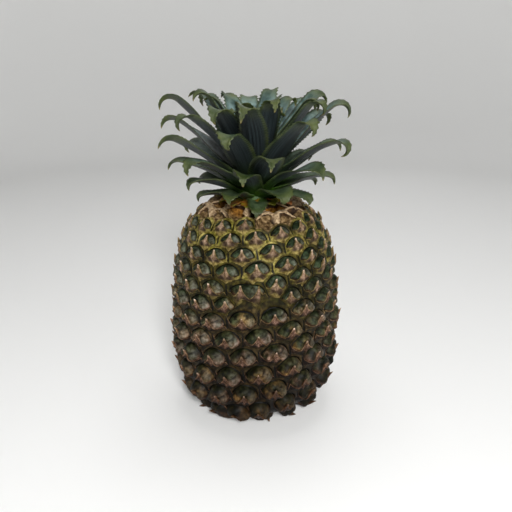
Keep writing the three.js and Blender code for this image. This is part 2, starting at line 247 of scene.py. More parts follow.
# Stage
FLOOR_COLOR = (0.91, 0.91, 0.9, 1)
FLOOR_ROUGHNESS = 0.7
FLOOR_RADII = (400, 1100)  # its middle's, and where it starts to bend
FLOOR_BEND = 500
FLOOR_WALL = 900
FLOOR_SIDES = 96
BEND_STEPS = 16

# Lights, each with its place and size in metres and its power in watts
LIGHTS = {
    "key": ((0.14, -1.0, 0.72), 0.3, 14.5),
    "fill": ((0.8, -0.7, 0.6), 0.5, 0.5),
    "top": ((0.0, 0.15, 1.25), 0.7, 4),
    "back": ((0.3, 0.95, 0.7), 0.7, 0.7),
}
STUDIO_LIGHT = 0.045

# Camera, at the photograph's viewing angle
VIEW_ELEVATION = math.radians(19.43)
VIEW_DISTANCE = 437.5
VIEW_HEIGHT = 122.07
LENS_MM = 35
SENSOR_MM = 32
VIEW_SHIFT = 0.0021


def mix(a, b, share):
    return a + (b - a) * share


def smooth(x):
    x = np.clip(x, 0, 1)
    return x * x * (3 - 2 * x)


def arch(x, flatness, fullness):
    """1 where x is 0, and down to 0 where it is -1 or 1."""
    return (1 - np.abs(np.clip(x, -1, 1)) ** flatness) ** fullness


def bell(x, width):
    """1 where x is 0, and close to 0 beyond two widths from there."""
    return np.exp(-((x / width) ** 2))


def wrap(angle):
    return angle - 2 * np.pi * np.round(angle / (2 * np.pi))


def running(steps):
    """Where each step ends, from 0 on."""
    return np.concatenate([[0.0], np.cumsum(steps)])


def drawer(seed):
    """Seeded draws between minus and plus a spread, the same on every run."""
    state = seed

    def draw(spread):
        nonlocal state
        state = (state * 1664525 + 1013904223) % 2**32
        return (state / 2**31 - 1) * spread

    return draw


def ripples(points, wavelength, seed, count=7):
    """A smooth random field of about -1 to 1, made of waves that run in seeded directions."""
    draw = drawer(seed)
    total = np.zeros(len(points))
    for _ in range(count):
        heading = np.array([draw(1), draw(1), draw(1)])
        heading *= 2 * np.pi / (wavelength * np.linalg.norm(heading))
        total += np.sin(points @ heading + draw(np.pi))
    return total / math.sqrt(count)


def bumps(points, layers):
    return sum(height * ripples(points, wavelength, seed) for height, wavelength, seed in layers)


def trace_outline():
    """The outline from the top down, as running length and what goes with it."""
    t = (1 + np.cos(np.pi * np.arange(OUTLINE_STEPS + 1) / OUTLINE_STEPS)) / 2
    r = FRUIT_RADIUS * arch(1 - 2 * t, SQUARENESS, ROUNDNESS) * (1 - TAPER * t)
    z = FRUIT_HEIGHT * t
    step = np.hypot(np.diff(r), np.diff(z))
    middle = np.maximum((r[1:] + r[:-1]) / 2, TINY)
    s = running(step)
    return {
        "s": s, "r": r, "z": z, "slope_r": np.gradient(r, s), "slope_z": np.gradient(z, s),
        "area": running(2 * np.pi * middle * step), "globe": running(step / middle),
    }


OUTLINE = trace_outline()
SKIN_LENGTH = OUTLINE["s"][-1]


def along(name, s):
    """A value of the outline at running length s from the top."""
    return np.interp(s, OUTLINE["s"], OUTLINE[name])


def skin_points(s, turn, lift, lean=0.0):
    """Points by their running length and turn, lifted off the outline and leaning up it."""
    s = np.clip(s, 0, SKIN_LENGTH)
    height = along("z", s)
    fade = smooth(height / FOOT_FADE)
    slope_r = along("slope_r", s)
    slope_z = along("slope_z", s)
    r = along("r", s) - slope_z * lift - slope_r * lean * fade
    up = slope_r * lift - slope_z * lean * fade
    z = np.maximum(0, height + np.where(up < 0, up * fade, up))
    return np.stack([r * np.sin(turn), -r * np.cos(turn), z], axis=-1)


def place_eyes():
    """Every eye's place and size, in order down the spiral."""
    draw = drawer(EYE_SEED)
    eyes = []
    for number in range(FIRST_EYE, LAST_EYE + 1):
        area = SHOULDER_AREA + EYE_AREA * number * (1 + EYE_GROWTH * number)
        s = np.interp(area, OUTLINE["area"], OUTLINE["s"])
        radius = along("r", s)
        eye = SimpleNamespace(number=number, beaks=(0.0,))
        eye.s = s + draw(EYE_DRIFT)
        eye.turn = FRONT_TURN - number * EYE_TURN + draw(EYE_DRIFT) / radius
        eye.size = math.sqrt(EYE_AREA * (1 + 2 * EYE_GROWTH * number) / TYPICAL_EYE)
        eye.vigour = 1 + draw(VIGOUR_SPREAD)
        eye.swerve = draw(TIP_SWERVE)
        eye.middle = eye.turn
        eyes.append(eye)
    set_twins(*(eyes[i] for i in TWINS))
    return eyes


def set_twins(left, right):
    """Two eyes leave their places on the spiral and share a wide cell, which the first stands for."""
    s = mix(left.s, right.s, TWIN_DROP)
    between = wrap(left.turn - right.turn) / 2
    middle = right.turn + between
    half = math.copysign(TWIN_SPACING / 2 / along("r", s), between)
    beaks = (-TWIN_SPACING / 2, TWIN_SPACING / 2)
    vars(left).update(s=s, turn=middle + half, middle=middle, beaks=beaks)
    vars(right).update(s=s, turn=middle - half)


def finish_eyes(eyes):
    """What the looks need beside the CAD's values: ripeness, dryness and a shade."""
    draw = drawer(EYE_SEED + 1)
    for eye in eyes:
        eye.ripe = float(smooth((eye.number - RIPE_FROM) / (RIPE_TO - RIPE_FROM)))
        eye.cup = 1 - float(smooth((eye.number - COLLAR_END + COLLAR_FADE) / COLLAR_FADE))
        eye.shade = 0.5 + draw(0.5)
        eye.scale = eye.size * eye.vigour
        eye.radius = float(along("r", eye.s))


def neighbour_triples(eyes):
    """Triples of eyes that meet at a corner, found as the faces of a hull round all eyes on a globe."""
    half_area = OUTLINE["area"][-1] / 2
    equator = np.interp(half_area, OUTLINE["area"], OUTLINE["globe"])
    globe = bmesh.new()
    for eye in eyes:
        latitude = equator - along("globe", eye.s)
        x, y = (part(eye.turn) / math.cosh(latitude) for part in (math.cos, math.sin))
        globe.verts.new((x, y, math.tanh(latitude)))
    globe.verts.new((0, 0, 1))
    globe.verts.new((0, 0, -1))
    globe.verts.index_update()
    bmesh.ops.convex_hull(globe, input=globe.verts[:])
    triples = [sorted(vert.index for vert in face.verts) for face in globe.faces]
    globe.free()
    return sorted(triples)


class Shell:
    """A mesh in the making: vertices with a place and named looks, and faces by vertex number."""

    def __init__(self):
        self.count = 0
        self.places = []
        self.looks = {}
        self.faces = []

    def add(self, *place, **looks):
        """New vertices, by numbers or arrays. It gives back the vertices' own numbers."""
        shape = np.broadcast_shapes(*(np.shape(value) for value in (*place, *looks.values())))
        self.places.append([np.broadcast_to(value, shape).ravel() for value in place])
        for name, value in looks.items():
            self.looks.setdefault(name, []).append(np.broadcast_to(value, shape).ravel())
        first = self.count
        self.count += math.prod(shape)
        return np.arange(first, self.count).reshape(shape)

    def columns(self):
        """The places of all vertices, as an array for each coordinate."""
        return [np.concatenate(parts) for parts in zip(*self.places)]

    def points(self):
        return np.stack(self.columns(), axis=-1)

    def look(self, name):
        return np.concatenate(self.looks[name])

    def strips(self, rows, closed=False):
        """Quads between each row of vertices and the next."""
        if closed:
            rows = [np.append(row, row[0]) for row in rows]
        for lower, upper in zip(rows, rows[1:]):
            self.faces += np.stack([lower[:-1], lower[1:], upper[1:], upper[:-1]], axis=1).tolist()

    def fan(self, ring, middle):
        for one, other in zip(ring, [*ring[1:], ring[0]]):
            self.faces.append([int(one), int(other), int(middle)])

    def tube(self, rows):
        """Closed rows of vertices, joined and capped at both ends."""
        self.strips(rows, closed=True)
        self.faces += [rows[0][::-1].tolist(), rows[-1].tolist()]


def make_piece(name, points, shell, material, **more):
    """A mesh object from millimetre points, with the shell's looks and more kept on its vertices."""
    mesh = bpy.data.meshes.new(name)
    mesh.from_pydata((points * MM).tolist(), [], shell.faces)
    looks = {look: shell.look(look) for look in shell.looks}
    for look, numbers in {**looks, **more}.items():
        attribute = mesh.attributes.new(look, "FLOAT", "POINT")
        attribute.data.foreach_set("value", np.asarray(numbers, dtype=np.float32))
    mesh.materials.append(material)
    mesh.shade_smooth()
    mesh.update()
    piece = bpy.data.objects.new(name, mesh)
    bpy.context.scene.collection.objects.link(piece)
    return piece


class Corners:
    """The net of cell edges that all eyes share: its corners, and the bent edges between them."""

    def __init__(self, eyes, shell):
        self.eyes = eyes
        self.shell = shell
        self.pole = len(eyes)  # the number after the last eye's is the top, and the next one the foot
        self.triples = neighbour_triples(eyes)
        self.around = [[] for _ in range(len(eyes) + 2)]
        for index, triple in enumerate(self.triples):
            for i in triple:
                self.around[i].append(index)
        self.places = [self.place(triple) for triple in self.triples]
        self.vertices = [
            int(shell.add(*place, self.level(triple), **self.looks(triple)))
            for place, triple in zip(self.places, self.triples)
        ]
        self.edges = {}

    def place(self, triple):
        """A corner's running length and turn: the mean of its three eyes, or of two and a pole."""
        real = [self.eyes[i] for i in triple if i < self.pole]
        lengths = [eye.s for eye in real]
        lengths += [SKIN_LENGTH if i > self.pole else 0 for i in triple if i >= self.pole]
        first = real[0].turn
        turn = first + sum(wrap(eye.turn - first) for eye in real) / len(real)
        return sum(lengths) / 3, float(turn)

    def means(self, members, *names):
        """Mean values of some eyes, without the poles."""
        real = [self.eyes[i] for i in members if i < self.pole]
        return [float(np.mean([getattr(eye, name) for eye in real])) for name in names]

    def level(self, members):
        """Height of the net between some eyes: a groove, or a rim between dry cups."""
        if max(members) >= self.pole:
            return 0.0
        ripe, cup, size = self.means(members, "ripe", "cup", "size")
        return mix(mix(*SKIN, ripe) * size, RIM, smooth(cup * RIM_GAIN - RIM_LAG))

    def looks(self, members):
        """What the rind's material reads on the net between some eyes."""
        ripe, cup, shade = self.means(members, "ripe", "cup", "shade")
        # the crease look on the net is painted shade in the seams, strongest between cells that sit side
        # by side
        upright = 1 - self.steepness(members) if len(members) == 2 else CORNER_SEAM
        seam = mix(*SEAM_DARKNESS, ripe) * upright
        return {**NET_LOOKS, "crease": seam, "ripe": ripe, "cup": cup, "shade": shade}

    def edge(self, a, b):
        """Vertices from corner a up to corner b, without b."""
        low, high = sorted((a, b))
        if (low, high) not in self.edges:
            self.edges[low, high] = self.add_edge(low, high)
        between = self.edges[low, high]
        return [self.vertices[a], *(between if a == low else between[::-1])]

    def add_edge(self, low, high):
        pair = sorted(set(self.triples[low]) & set(self.triples[high]))
        t = np.arange(1, EDGE_SPLITS) / EDGE_SPLITS
        (s1, turn1), (s2, turn2) = self.places[low], self.places[high]
        hump = 4 * t * (1 - t)
        s = mix(s1, s2, t) - EDGE_BULGE * self.steepness(pair) * hump
        turn = turn1 + wrap(turn2 - turn1) * t
        ends = mix(self.level(self.triples[low]), self.level(self.triples[high]), t)
        lift = mix(ends, self.level(pair), hump)
        return self.shell.add(s, turn, lift, **self.looks(pair)).tolist()

    def steepness(self, pair):
        """How far one eye of a pair sits above the other, from 0 to 1. A pole and its eye have 0."""
        if max(pair) >= self.pole:
            return 0.0
        one, other = (self.eyes[i] for i in pair)
        down = abs(one.s - other.s)
        across = abs(wrap(one.turn - other.turn)) * one.radius
        return down / math.hypot(down, across)

    def loop(self, i):
        """Vertices round an eye's cell, anticlockwise from outside."""
        corners = self.sort_round(i)
        if i == TWINS[0]:
            corners = join_rings(corners, self.sort_round(TWINS[1]))
        ring = []
        for a, b in zip(corners, corners[1:] + corners[:1]):
            ring += self.edge(a, b)
        return ring

    def sort_round(self, i):
        """An eye's or a pole's corners, in order round it."""
        if i >= self.pole:
            sign = 1 if i == self.pole else -1
            return sorted(self.around[i], key=lambda c: sign * (self.places[c][1] % (2 * np.pi)))
        eye = self.eyes[i]

        def bearing(c):
            s, turn = self.places[c]
            return math.atan2(eye.s - s, wrap(turn - eye.turn) * eye.radius)

        return sorted(self.around[i], key=bearing)


def join_rings(one, other):
    """The corners round two cells that share a side."""
    shared = set(one) & set(other)
    joined = []
    for ring in (one, other):
        after = ring[1:] + ring[:1]
        end = next(i for i in range(len(ring)) if ring[i] in shared and after[i] not in shared)
        turned = ring[end:] + ring[:end]
        stop = next(i for i in range(1, len(turned)) if turned[i] in shared)
        joined += turned[:stop]
    return joined


class Cell:
    """One eye's patch of skin, in flat coordinates: x to its right and y up, from the cell's middle."""

    def __init__(self, eye, ring, s, turn, lift):
        self.eye = eye
        self.ring = ring
        self.x = wrap(turn - eye.middle) * eye.radius
        self.y = eye.s - s
        self.edge_lift = lift
        self.heart = HEART * eye.size
        ripe = eye.ripe
        self.level = mix(*SKIN, ripe) * eye.size
        self.crease = mix(*CREASE, ripe)
        self.lip = mix(*LIP, ripe) * eye.scale
        self.dome = mix(*DOME, ripe) * eye.scale
        self.width = mix(*DOME_WIDTH, ripe)
        self.corner_y = mix(*LENS_SIDE, ripe) * eye.size
        self.seams = [turn + (eye.shade - 0.5) * SUTURE_SLANT for turn in SUTURE_TURNS]
        below, self.above = self.side(1), self.side(-1)
        self.chain_x, self.chain_y = self.trace(below)
        self.chain_lift = lift[below]
        self.roof_x, self.roof_y = self.trace(self.above)
        self.trace_dome()

    def side(self, way):
        """Places round the cell's edge from its left end to its right: below for 1, above for -1."""
        left, right = np.argmin(self.x), np.argmax(self.x)
        steps = np.arange(way * (right - left) % len(self.x) + 1)
        return (left + way * steps) % len(self.x)

    def trace(self, side):
        """A side of the edge as a line whose x never goes back."""
        return np.maximum.accumulate(self.x[side]) + TINY * np.arange(len(side)), self.y[side]

    def chain(self, x):
        return np.interp(x, self.chain_x, self.chain_y)

    def roof(self, x):
        return np.interp(x, self.roof_x, self.roof_y)

    def across(self, x):
        """x as a share of the cell's half width, from -1 to 1."""
        middle = (self.chain_x[0] + self.chain_x[-1]) / 2
        half = (self.chain_x[-1] - self.chain_x[0]) / 2
        return np.clip((x - middle) / half, -1, 1)

    def lens(self, x):
        """Lower side of the dome, where the lip of the bract lies against it."""
        share = self.across(x)
        depth = mix(*LENS_DEPTH, self.eye.ripe) * (self.corner_y - self.chain_y.min())
        arc = self.corner_y - depth * arch(share / self.width, *LENS_ARCH)
        arc = np.minimum(mix(arc, self.chain(x), self.beyond(share)), self.roof(x))
        return np.maximum(arc, self.chain(x) + BAND_SIDE + BAND_MIDDLE * (1 - share**2))

    def brow(self, x):
        """Upper side of the dome, an arch under the cell's upper edge."""
        highest = (DOME_RISE if len(self.eye.beaks) == 1 else TWIN_RISE) * self.eye.size
        rise = np.minimum(self.roof(x) - self.corner_y, highest)
        rise = mix(*DOME_TOP, self.eye.ripe) * rise * arch(self.across(x) / self.width, *BROW_ARCH)
        return self.corner_y + rise

    def beyond(self, share):
        """0 where the dome is and up to 1 at the cell's left and right ends."""
        return np.clip((np.abs(share) - self.width) / (1 - self.width), 0, 1)

    def lip_at(self, x):
        """Height of the bract's lip, which dips to the skin round it towards the cell's ends."""
        sunk = smooth((np.abs(self.across(x)) - LIP_LEVEL_TO) / LIP_FADE)
        return mix(self.lip, self.level, sunk)

    def seam(self, x, y, inner):
        """1 on the seams between the dome's lobes, which fade at its edge and its middle."""
        angle = np.arctan2(y - self.heart, x)
        near = sum(bell(wrap(angle - seam), SUTURE_WIDTH) for seam in self.seams)
        growth, end = SUTURE_CURVE
        return near * inner**growth * (1 - inner**end)

    def trace_dome(self):
        """For each spoke, how far out the dome reaches, as a share of the way to the cell's edge."""
        shares = np.linspace(0, 1, LENS_SAMPLES)[:, None]
        x = self.x * shares
        y = mix(self.heart, self.y, shares)
        outside = (y < self.lens(x)) | (y > self.brow(x))
        reach = np.where(outside.any(axis=0), shares[np.argmax(outside, axis=0), 0], 1)
        self.reach = mix(np.clip(reach, *REACH_LIMITS), CUP_REACH, self.eye.cup)
        self.angle = np.unwrap(np.arctan2(self.y - self.heart, self.x))
        self.radius = np.hypot(self.x, self.y - self.heart)

    def polar(self, values, angle):
        """A value of the cell's edge, read in the direction of an angle."""
        turned = self.angle[0] + np.mod(angle - self.angle[0], 2 * np.pi)
        grown = np.append(self.angle, self.angle[0] + 2 * np.pi)
        return np.interp(turned, grown, np.append(values, values[0]))

    def surface(self, x, y):
        """Lift of the rind at flat coordinates, and how far out in its dome each point is."""
        angle = np.arctan2(y - self.heart, x)
        share = np.hypot(x, y - self.heart) / self.polar(self.radius, angle)
        reach, edge_lift = (self.polar(values, angle) for values in (self.reach, self.edge_lift))
        return self.relief(x, y, share, reach, edge_lift)

    def relief(self, x, y, share, reach, edge_lift):
        """The same, for points whose share of the way out to the edge is known."""
        eye = self.eye
        up = y - self.heart
        inner = np.clip(share / reach, 0, 1)
        outer = np.clip((share - reach) / (1 - reach), 0, 1)
        low_side = smooth(-up / np.maximum(np.hypot(x, up), TINY) / LIP_BLEND)
        shore = mix(edge_lift - self.crease, self.lip_at(x) - LIP_OVERLAP, low_side)
        web = edge_lift - self.crease * smooth(1 - outer / CREASE_REACH)
        hidden = mix(shore, edge_lift, outer) - HIDDEN_DIP * outer * (1 - outer)
        web = mix(web, hidden, low_side)
        swell = arch(inner, *DOME_ARCH)
        dip = sum(bell(x - beak - eye.swerve, VALLEY_WIDTH) for beak in eye.beaks)
        low_part = smooth(VALLEY_TOP - up / (VALLEY_FADE * eye.size))
        valley = mix(*VALLEY, eye.ripe) * dip * swell * low_part
        dome = shore + (self.dome - shore) * swell - valley
        dome = dome - mix(*SUTURE, eye.ripe) * self.seam(x, y, inner)
        hollow, rim = CUP_CURVE
        cup = mix(mix(CUP_FLOOR, CUP_SIDE, inner**hollow), edge_lift, outer**rim)
        return mix(np.where(outer > 0, web, dome), cup, eye.cup), inner

    def place(self, x, y):
        """Flat coordinates turned back into running length and turn."""
        return self.eye.s - y, self.eye.middle + x / self.eye.radius


def add_cell(shell, cell):
    """The rings of one eye's skin, from its cell's edge to its middle."""
    eye = cell.eye
    own = {"ripe": eye.ripe, "cup": eye.cup, "shade": eye.shade}
    outer = mix(cell.reach, 1, RING_OUTER[:, None])
    shares = np.vstack([outer, cell.reach * RING_INNER[:, None]])
    x = cell.x * shares
    y = mix(cell.heart, cell.y, shares)
    lift, inside = cell.relief(x, y, shares, cell.reach, cell.edge_lift)
    outside = (shares - cell.reach) / (1 - cell.reach)
    # the crease look is painted shade: darkest at the dome's edge, fading out over the skin, and along
    # the seams between its lobes
    crease = np.where(outside > -TINY, np.exp(-outside / CREASE_FADE), 0)
    looks = {
        "dome": (shares <= cell.reach + TINY).astype(float),
        "inside": 1 - inside**INSIDE_CURVE,
        "crease": crease + SUTURE_DARKNESS * cell.seam(x, y, inside) * (inside < 1),
        "side": cell.across(x),
        "up": np.clip((y - cell.heart) / (UP_REACH * eye.size), -1, 1),
    }
    rings = [cell.ring, *shell.add(*cell.place(x, y), lift, **own, **looks)]
    shell.strips(rings, closed=True)
    lift, _ = cell.surface(0.0, cell.heart)
    middle = shell.add(*cell.place(0, cell.heart), lift, **own, **MIDDLE_LOOKS)
    shell.fan(rings[-1], middle)


def rind_points(shell):
    """Places of the rind's vertices, with small bumps, and with the hollow under its foot."""
    s, turn, lift = shell.columns()
    dome, cup = shell.look("dome"), shell.look("cup")
    even = skin_points(s, turn, 0)
    lift = lift + dome * (1 - cup) * bumps(even, DOME_BUMPS) + cup * bumps(even, CUP_BUMPS)
    points = skin_points(s, turn, lift)
    r = np.hypot(points[:, 0], points[:, 1])
    hollow = FOOT_HOLLOW * smooth((FOOT_HOLLOW_RADIUS - r) / FOOT_HOLLOW_FADE)
    points[:, 2] += hollow * (points[:, 2] < FRUIT_HEIGHT / 2)
    return points


def lowness(points):
    """1 at the foot of the fruit, where the colours are darkened most, partly as painted shade, and 0
    from LOW_UP_TO up.
    """
    return smooth(1 - points[:, 2] / LOW_UP_TO)


def make_rind(eyes, material):
    """The skin of all eyes as one piece, and the cells that bracts and hoods stand on."""
    shell = Shell()
    corners = Corners(eyes, shell)
    loops = [[] if i == TWINS[1] else corners.loop(i) for i in range(len(eyes) + 2)]
    s, turn, lift = shell.columns()
    cells = [Cell(eye, ring, s[ring], turn[ring], lift[ring]) for eye, ring in zip(eyes, loops) if ring]
    for cell in cells:
        add_cell(shell, cell)
    for ring, s, ripe in ((loops[-2], 0, 0), (loops[-1], SKIN_LENGTH, 1)):
        pole = shell.add(s, 0, 0, **NET_LOOKS, crease=0, ripe=ripe, cup=1 - ripe, shade=0.5)
        shell.fan(ring, pole)
    points = rind_points(shell)
    top = smooth((TOP_BAND - np.hypot(points[:, 0], points[:, 1])) / TOP_FADE)
    top = top * (points[:, 2] > FRUIT_HEIGHT / 2)
    return make_piece("rind", points, shell, material, low=lowness(points), top=top), cells


class Bract:
    """The bract of one eye: a band along the foot of its cell, with a beak that rises over the dome."""

    def __init__(self, cell):
        self.cell = cell
        eye = cell.eye
        self.axes = [beak + BEAK_SWERVE * eye.swerve for beak in eye.beaks]
        self.tip_lift = mix(*TIP, eye.ripe) * eye.scale
        self.x = self.columns()
        self.aside = np.min([np.abs(self.x - axis) for axis in self.axes], axis=0)
        self.foot = cell.chain(self.x)
        lens = cell.lens(self.x)
        base = cell.lens(np.mean(self.axes))
        tip = mix(*TIP_RISE, eye.ripe) * eye.size
        half = mix(*BEAK_HALF, eye.ripe) * eye.size
        blunt = mix(*BEAK_BLUNTNESS, eye.ripe)
        slope = (np.maximum(self.aside - blunt, 0) / half) ** BEAK_FLARE
        gap = mix(tip, base, slope) - lens
        self.edge = lens + (gap + np.sqrt(gap**2 + BASE_SOFTNESS)) / 2
        self.rise = np.clip((self.edge - lens) / (tip - base), 0, 1)

    def columns(self):
        """Places across the cell, closer together at the beaks."""
        between = [(one + other) / 2 for one, other in zip(self.axes, self.axes[1:])]
        borders = [self.cell.chain_x[0], *between, self.cell.chain_x[-1]]
        near = np.linspace(0, 1, BRACT_STEPS) ** BRACT_CROWDING
        x = []
        for axis, left, right in zip(self.axes, borders, borders[1:]):
            x += [*mix(axis, left, near[:0:-1]), *mix(axis, right, near)]
        return np.unique(np.round(x, 6))

    def rows(self, shares, depth):
        """Rows of the bract's face, or of its underside where depth is more than nothing."""
        cell = self.cell
        v = shares[:, None]
        x = np.broadcast_to(self.x, (len(shares), len(self.x)))
        y = mix(self.foot, self.edge, v)
        edge_lift = mix(cell.lip_at(self.x), self.tip_lift, self.rise**BEAK_CURVE)
        foot_lift = np.interp(self.x, cell.chain_x, cell.chain_lift) - BAND_SINK
        lift = mix(foot_lift, edge_lift, v ** mix(*BAND_CURVE, cell.eye.ripe))
        under, _ = cell.surface(x, y)
        cover = mix(*COVER, cell.beyond(cell.across(x)))
        lift = np.maximum(lift, np.where(v > COVER_FROM, under + cover, lift))
        spine = SPINE_HEIGHT * bell(self.aside, SPINE_WIDTH) * np.sin(np.pi * v)
        x = x + cell.eye.swerve * (self.rise * v) ** BEAK_BEND
        return x, y, lift + spine - depth

    def add(self, shell):
        cell, eye = self.cell, self.cell.eye
        thick = mix(*THICKNESS, smooth((UNDER_ROWS - THIN_FROM) / THIN_FADE))[:, None]
        face = self.rows(BRACT_ROWS, 0)
        x, y, lift = self.rows(UNDER_ROWS, thick)
        dome, _ = cell.surface(x, y)
        filled = UNDER_ROWS[:, None] < KEEL_UP_TO
        under = x, y, np.where(filled, np.minimum(lift, dome - KEEL_SINK), lift)
        x, y, lift = (np.vstack(pair) for pair in zip(face, under))
        v = np.concatenate([BRACT_ROWS, UNDER_ROWS])[:, None]
        beak = self.rise * v
        lean = BEAK_LEAN * eye.scale * beak**3
        looks = {"edge": v, "beak": beak, "across": cell.across(x)}
        ids = shell.add(*cell.place(x, y), lift, lean, **looks, ripe=eye.ripe, shade=eye.shade)
        shell.strips([*ids, ids[0]])
        shell.faces += [ids[::-1, 0].tolist(), ids[:, -1].tolist()]


def make_bracts(cells, material):
    shell = Shell()
    for cell in cells:
        if cell.eye.cup < DRY_FROM:
            Bract(cell).add(shell)
    s, turn, lift, lean = shell.columns()
    lift = lift + bumps(skin_points(s, turn, lift), BRACT_BUMPS)
    points = skin_points(s, turn, lift, lean)
    return make_piece("bracts", points, shell, material, low=lowness(points))


def add_hood(shell, cell, draw):
    """The dry arch over one cup: a thick ragged rim that leans out over the hollow."""
    order = cell.above[::-1]
    run = np.linspace(0, len(order) - 1, HOOD_STEPS)[:, None]
    x = np.interp(run, np.arange(len(order)), cell.x[order])
    y = np.interp(run, np.arange(len(order)), cell.y[order]) - cell.heart
    size = 1 - HOOD_FALL * np.linspace(-1, 1, HOOD_STEPS)[:, None] ** 2
    ragged = np.array([draw(HOOD_RAGGED) for _ in range(HOOD_STEPS)])[:, None]
    inward = HOOD_INWARD * size * (1 + ragged)
    lift = HOOD_LIFT * size * (1 + HOOD_RAGGED_LIFT * ragged) * cell.eye.vigour
    towards = 1 + (HOOD_OUT - inward) / np.hypot(x, y)
    s, turn = cell.place(x * towards, cell.heart + y * towards)
    # the edge look carries HOOD_LIGHT, the painted light and shade round the section
    shell.tube(shell.add(s, turn, lift, edge=HOOD_LIGHT, shade=cell.eye.shade))


def make_collar(cells, material):
    shell = Shell()
    draw = drawer(COLLAR_SEED)
    for cell in cells:
        if cell.eye.cup >= DRY_FROM:
            add_hood(shell, cell, draw)
    s, turn, lift = shell.columns()
    even = skin_points(s, turn, lift)
    turn = turn + bumps(even, HOOD_WAVER) / along("r", s)
    points = skin_points(s, turn, lift + bumps(even, HOOD_BUMPS))
    return make_piece("collar", points, shell, material)


def along_crown(controls, q):
    """A value of the leaves at q, which runs from 0 for the lowest to 1 for the innermost."""
    a, b, c, d = controls
    p = 1 - q
    return a * p**3 + 3 * b * q * p**2 + 3 * c * q**2 * p + d * q**3


def leaf_settings(index, draw):
    q = index / (LEAVES - 1)
    chance = {name: draw(spread) for name, spread in LEAF_VARIETY.items()}
    leaf = SimpleNamespace(**chance, q=q)
    leaf.turn += FIRST_LEAF + index * LEAF_TURN
    leaf.root_radius = mix(*ROOT_RADIUS, q)
    leaf.root_height = mix(*ROOT_HEIGHT, q)
    leaf.length = along_crown(LEAF_LENGTH, q) * (1 + leaf.length)
    leaf.rise += math.radians(along_crown(LEAF_RISE, q))
    leaf.arch += math.radians(along_crown(LEAF_ARCH, q))
    leaf.hook = math.radians(along_crown(LEAF_HOOK, q)) * (1 + leaf.hook)
    leaf.width = along_crown(LEAF_WIDTH, q) * (1 + leaf.width)
    return leaf


def skirt_settings(index, draw):
    """One of the short bases of old leaves that ring the foot of the crown."""
    chance = {name: middle + draw(spread) for name, (middle, spread) in SKIRT.items()}
    leaf = SimpleNamespace(**chance, **SKIRT_ALIKE)
    leaf.turn += 2 * math.pi * index / SKIRT_LEAVES
    return leaf


def rise_along(leaf, share):
    """A leaf's steepness: it arches over along its length, and its tip hooks down."""
    hooked = np.maximum(share - HOOK_FROM, 0) / (1 - HOOK_FROM)
    return leaf.rise - leaf.arch * share**ARCH_CURVE - leaf.hook * hooked**HOOK_CURVE


def leaf_spine(leaf):
    """Points down the middle of a leaf, with the rise and turn there, three for each tooth."""
    steps = max(LEAST_TEETH, round(leaf.length / TOOTH_GAP)) * len(TOOTH_SHAPE)
    share = np.arange(steps + 1) / steps
    ahead = rise_along(leaf, (share[1:] + share[:-1]) / 2)
    step = leaf.length / steps
    r = leaf.root_radius + running(np.cos(ahead)) * step
    z = leaf.root_height + running(np.sin(ahead)) * step
    return share, r, z, rise_along(leaf, share), leaf.turn + leaf.sway * share**2


def add_leaf(shell, leaf):
    share, r, z, rise, turn = leaf_spine(leaf)
    claw = smooth((share - CLAW_FROM) / CLAW_FADE)
    profile = (ROOT_WIDTH + BELLY * share * (1 - share)) * arch(share, *LEAF_ENDS)
    half = leaf.width / 2 * np.maximum(profile * mix(1, CLAW_WIDTH, claw), LEAST_WIDTH)
    teeth = np.tile(TOOTH_SHAPE, len(share))[: len(share)] * TOOTH_HEIGHT
    teeth = teeth * smooth(share / ROOT_FADE) * smooth((1 - share) / TIP_FADE)
    thick = mix(*LEAF_THICKNESS, share)
    a = LEAF_ACROSS
    edge = np.sign(a) * (np.abs(a) == 1)
    looks = {"across": [*a, *a[::-1]], "under": np.repeat([0, 1], len(a)), "shade": leaf.q}
    up = Vector((0, 0, 1))
    rows = []
    for i in range(len(share)):
        outward = Vector((math.cos(turn[i]), math.sin(turn[i]), 0))
        heading = outward * math.cos(rise[i]) + up * math.sin(rise[i])
        side = Matrix.Rotation(leaf.twist * share[i], 3, heading) @ up.cross(outward)
        face = heading.cross(side)
        wave = half[i] * EDGE_WAVE * math.sin(leaf.wave + share[i] * WAVE_RATE)
        width = half[i] * a + edge * teeth[i]
        height = half[i] * (CHANNEL + CLAW_CURL * claw[i]) * np.abs(a) ** CHANNEL_CURVE + wave * a
        depth = np.minimum(mix(EDGE_THICKNESS, thick[i], 1 - a**2), half[i])
        middle = np.array([r[i] * math.cos(turn[i]), r[i] * math.sin(turn[i]), z[i]])
        across = middle + np.outer(width, side)
        top = across + np.outer(height, face)
        under = across + np.outer(height - depth, face)
        points = np.vstack([top, under[::-1]])
        rows.append(shell.add(*points.T, **looks, along=share[i]))
    shell.tube(rows)


def make_leaves(material):
    shell = Shell()
    draw = drawer(CROWN_SEED)
    for index in range(LEAVES):
        add_leaf(shell, leaf_settings(index, draw))
    for index in range(SKIRT_LEAVES):
        add_leaf(shell, skirt_settings(index, draw))
    return make_piece("leaves", shell.points(), shell, material)


def make_core(material):
    """The stem that the leaves grow from, lumpy with old leaf scars."""
    shell = Shell()
    turns = np.linspace(0, 2 * np.pi, CORE_SIDES, endpoint=False)
    looks = {"across": 0, "under": 1, "along": 0, "shade": CORE_SHADE}
    height, count, shift = CORE_LUMPS
    rows = []
    for r_share, z_share in CORE_PROFILE:
        r = CORE_RADIUS * r_share * (1 + height * np.sin(turns * count + z_share * shift))
        z = mix(FRUIT_HEIGHT + SEAT_GAP, CORE_TOP, z_share)
        rows.append(shell.add(r * np.cos(turns), r * np.sin(turns), z, **looks))
    shell.tube(rows)
    return make_piece("core", shell.points(), shell, material)


def linear(v):
    """A screen value of 0 to 255 as the linear value that a shader reads."""
    v /= 255
    return v / 12.92 if v <= 0.04045 else ((v + 0.055) / 1.055) ** 2.4


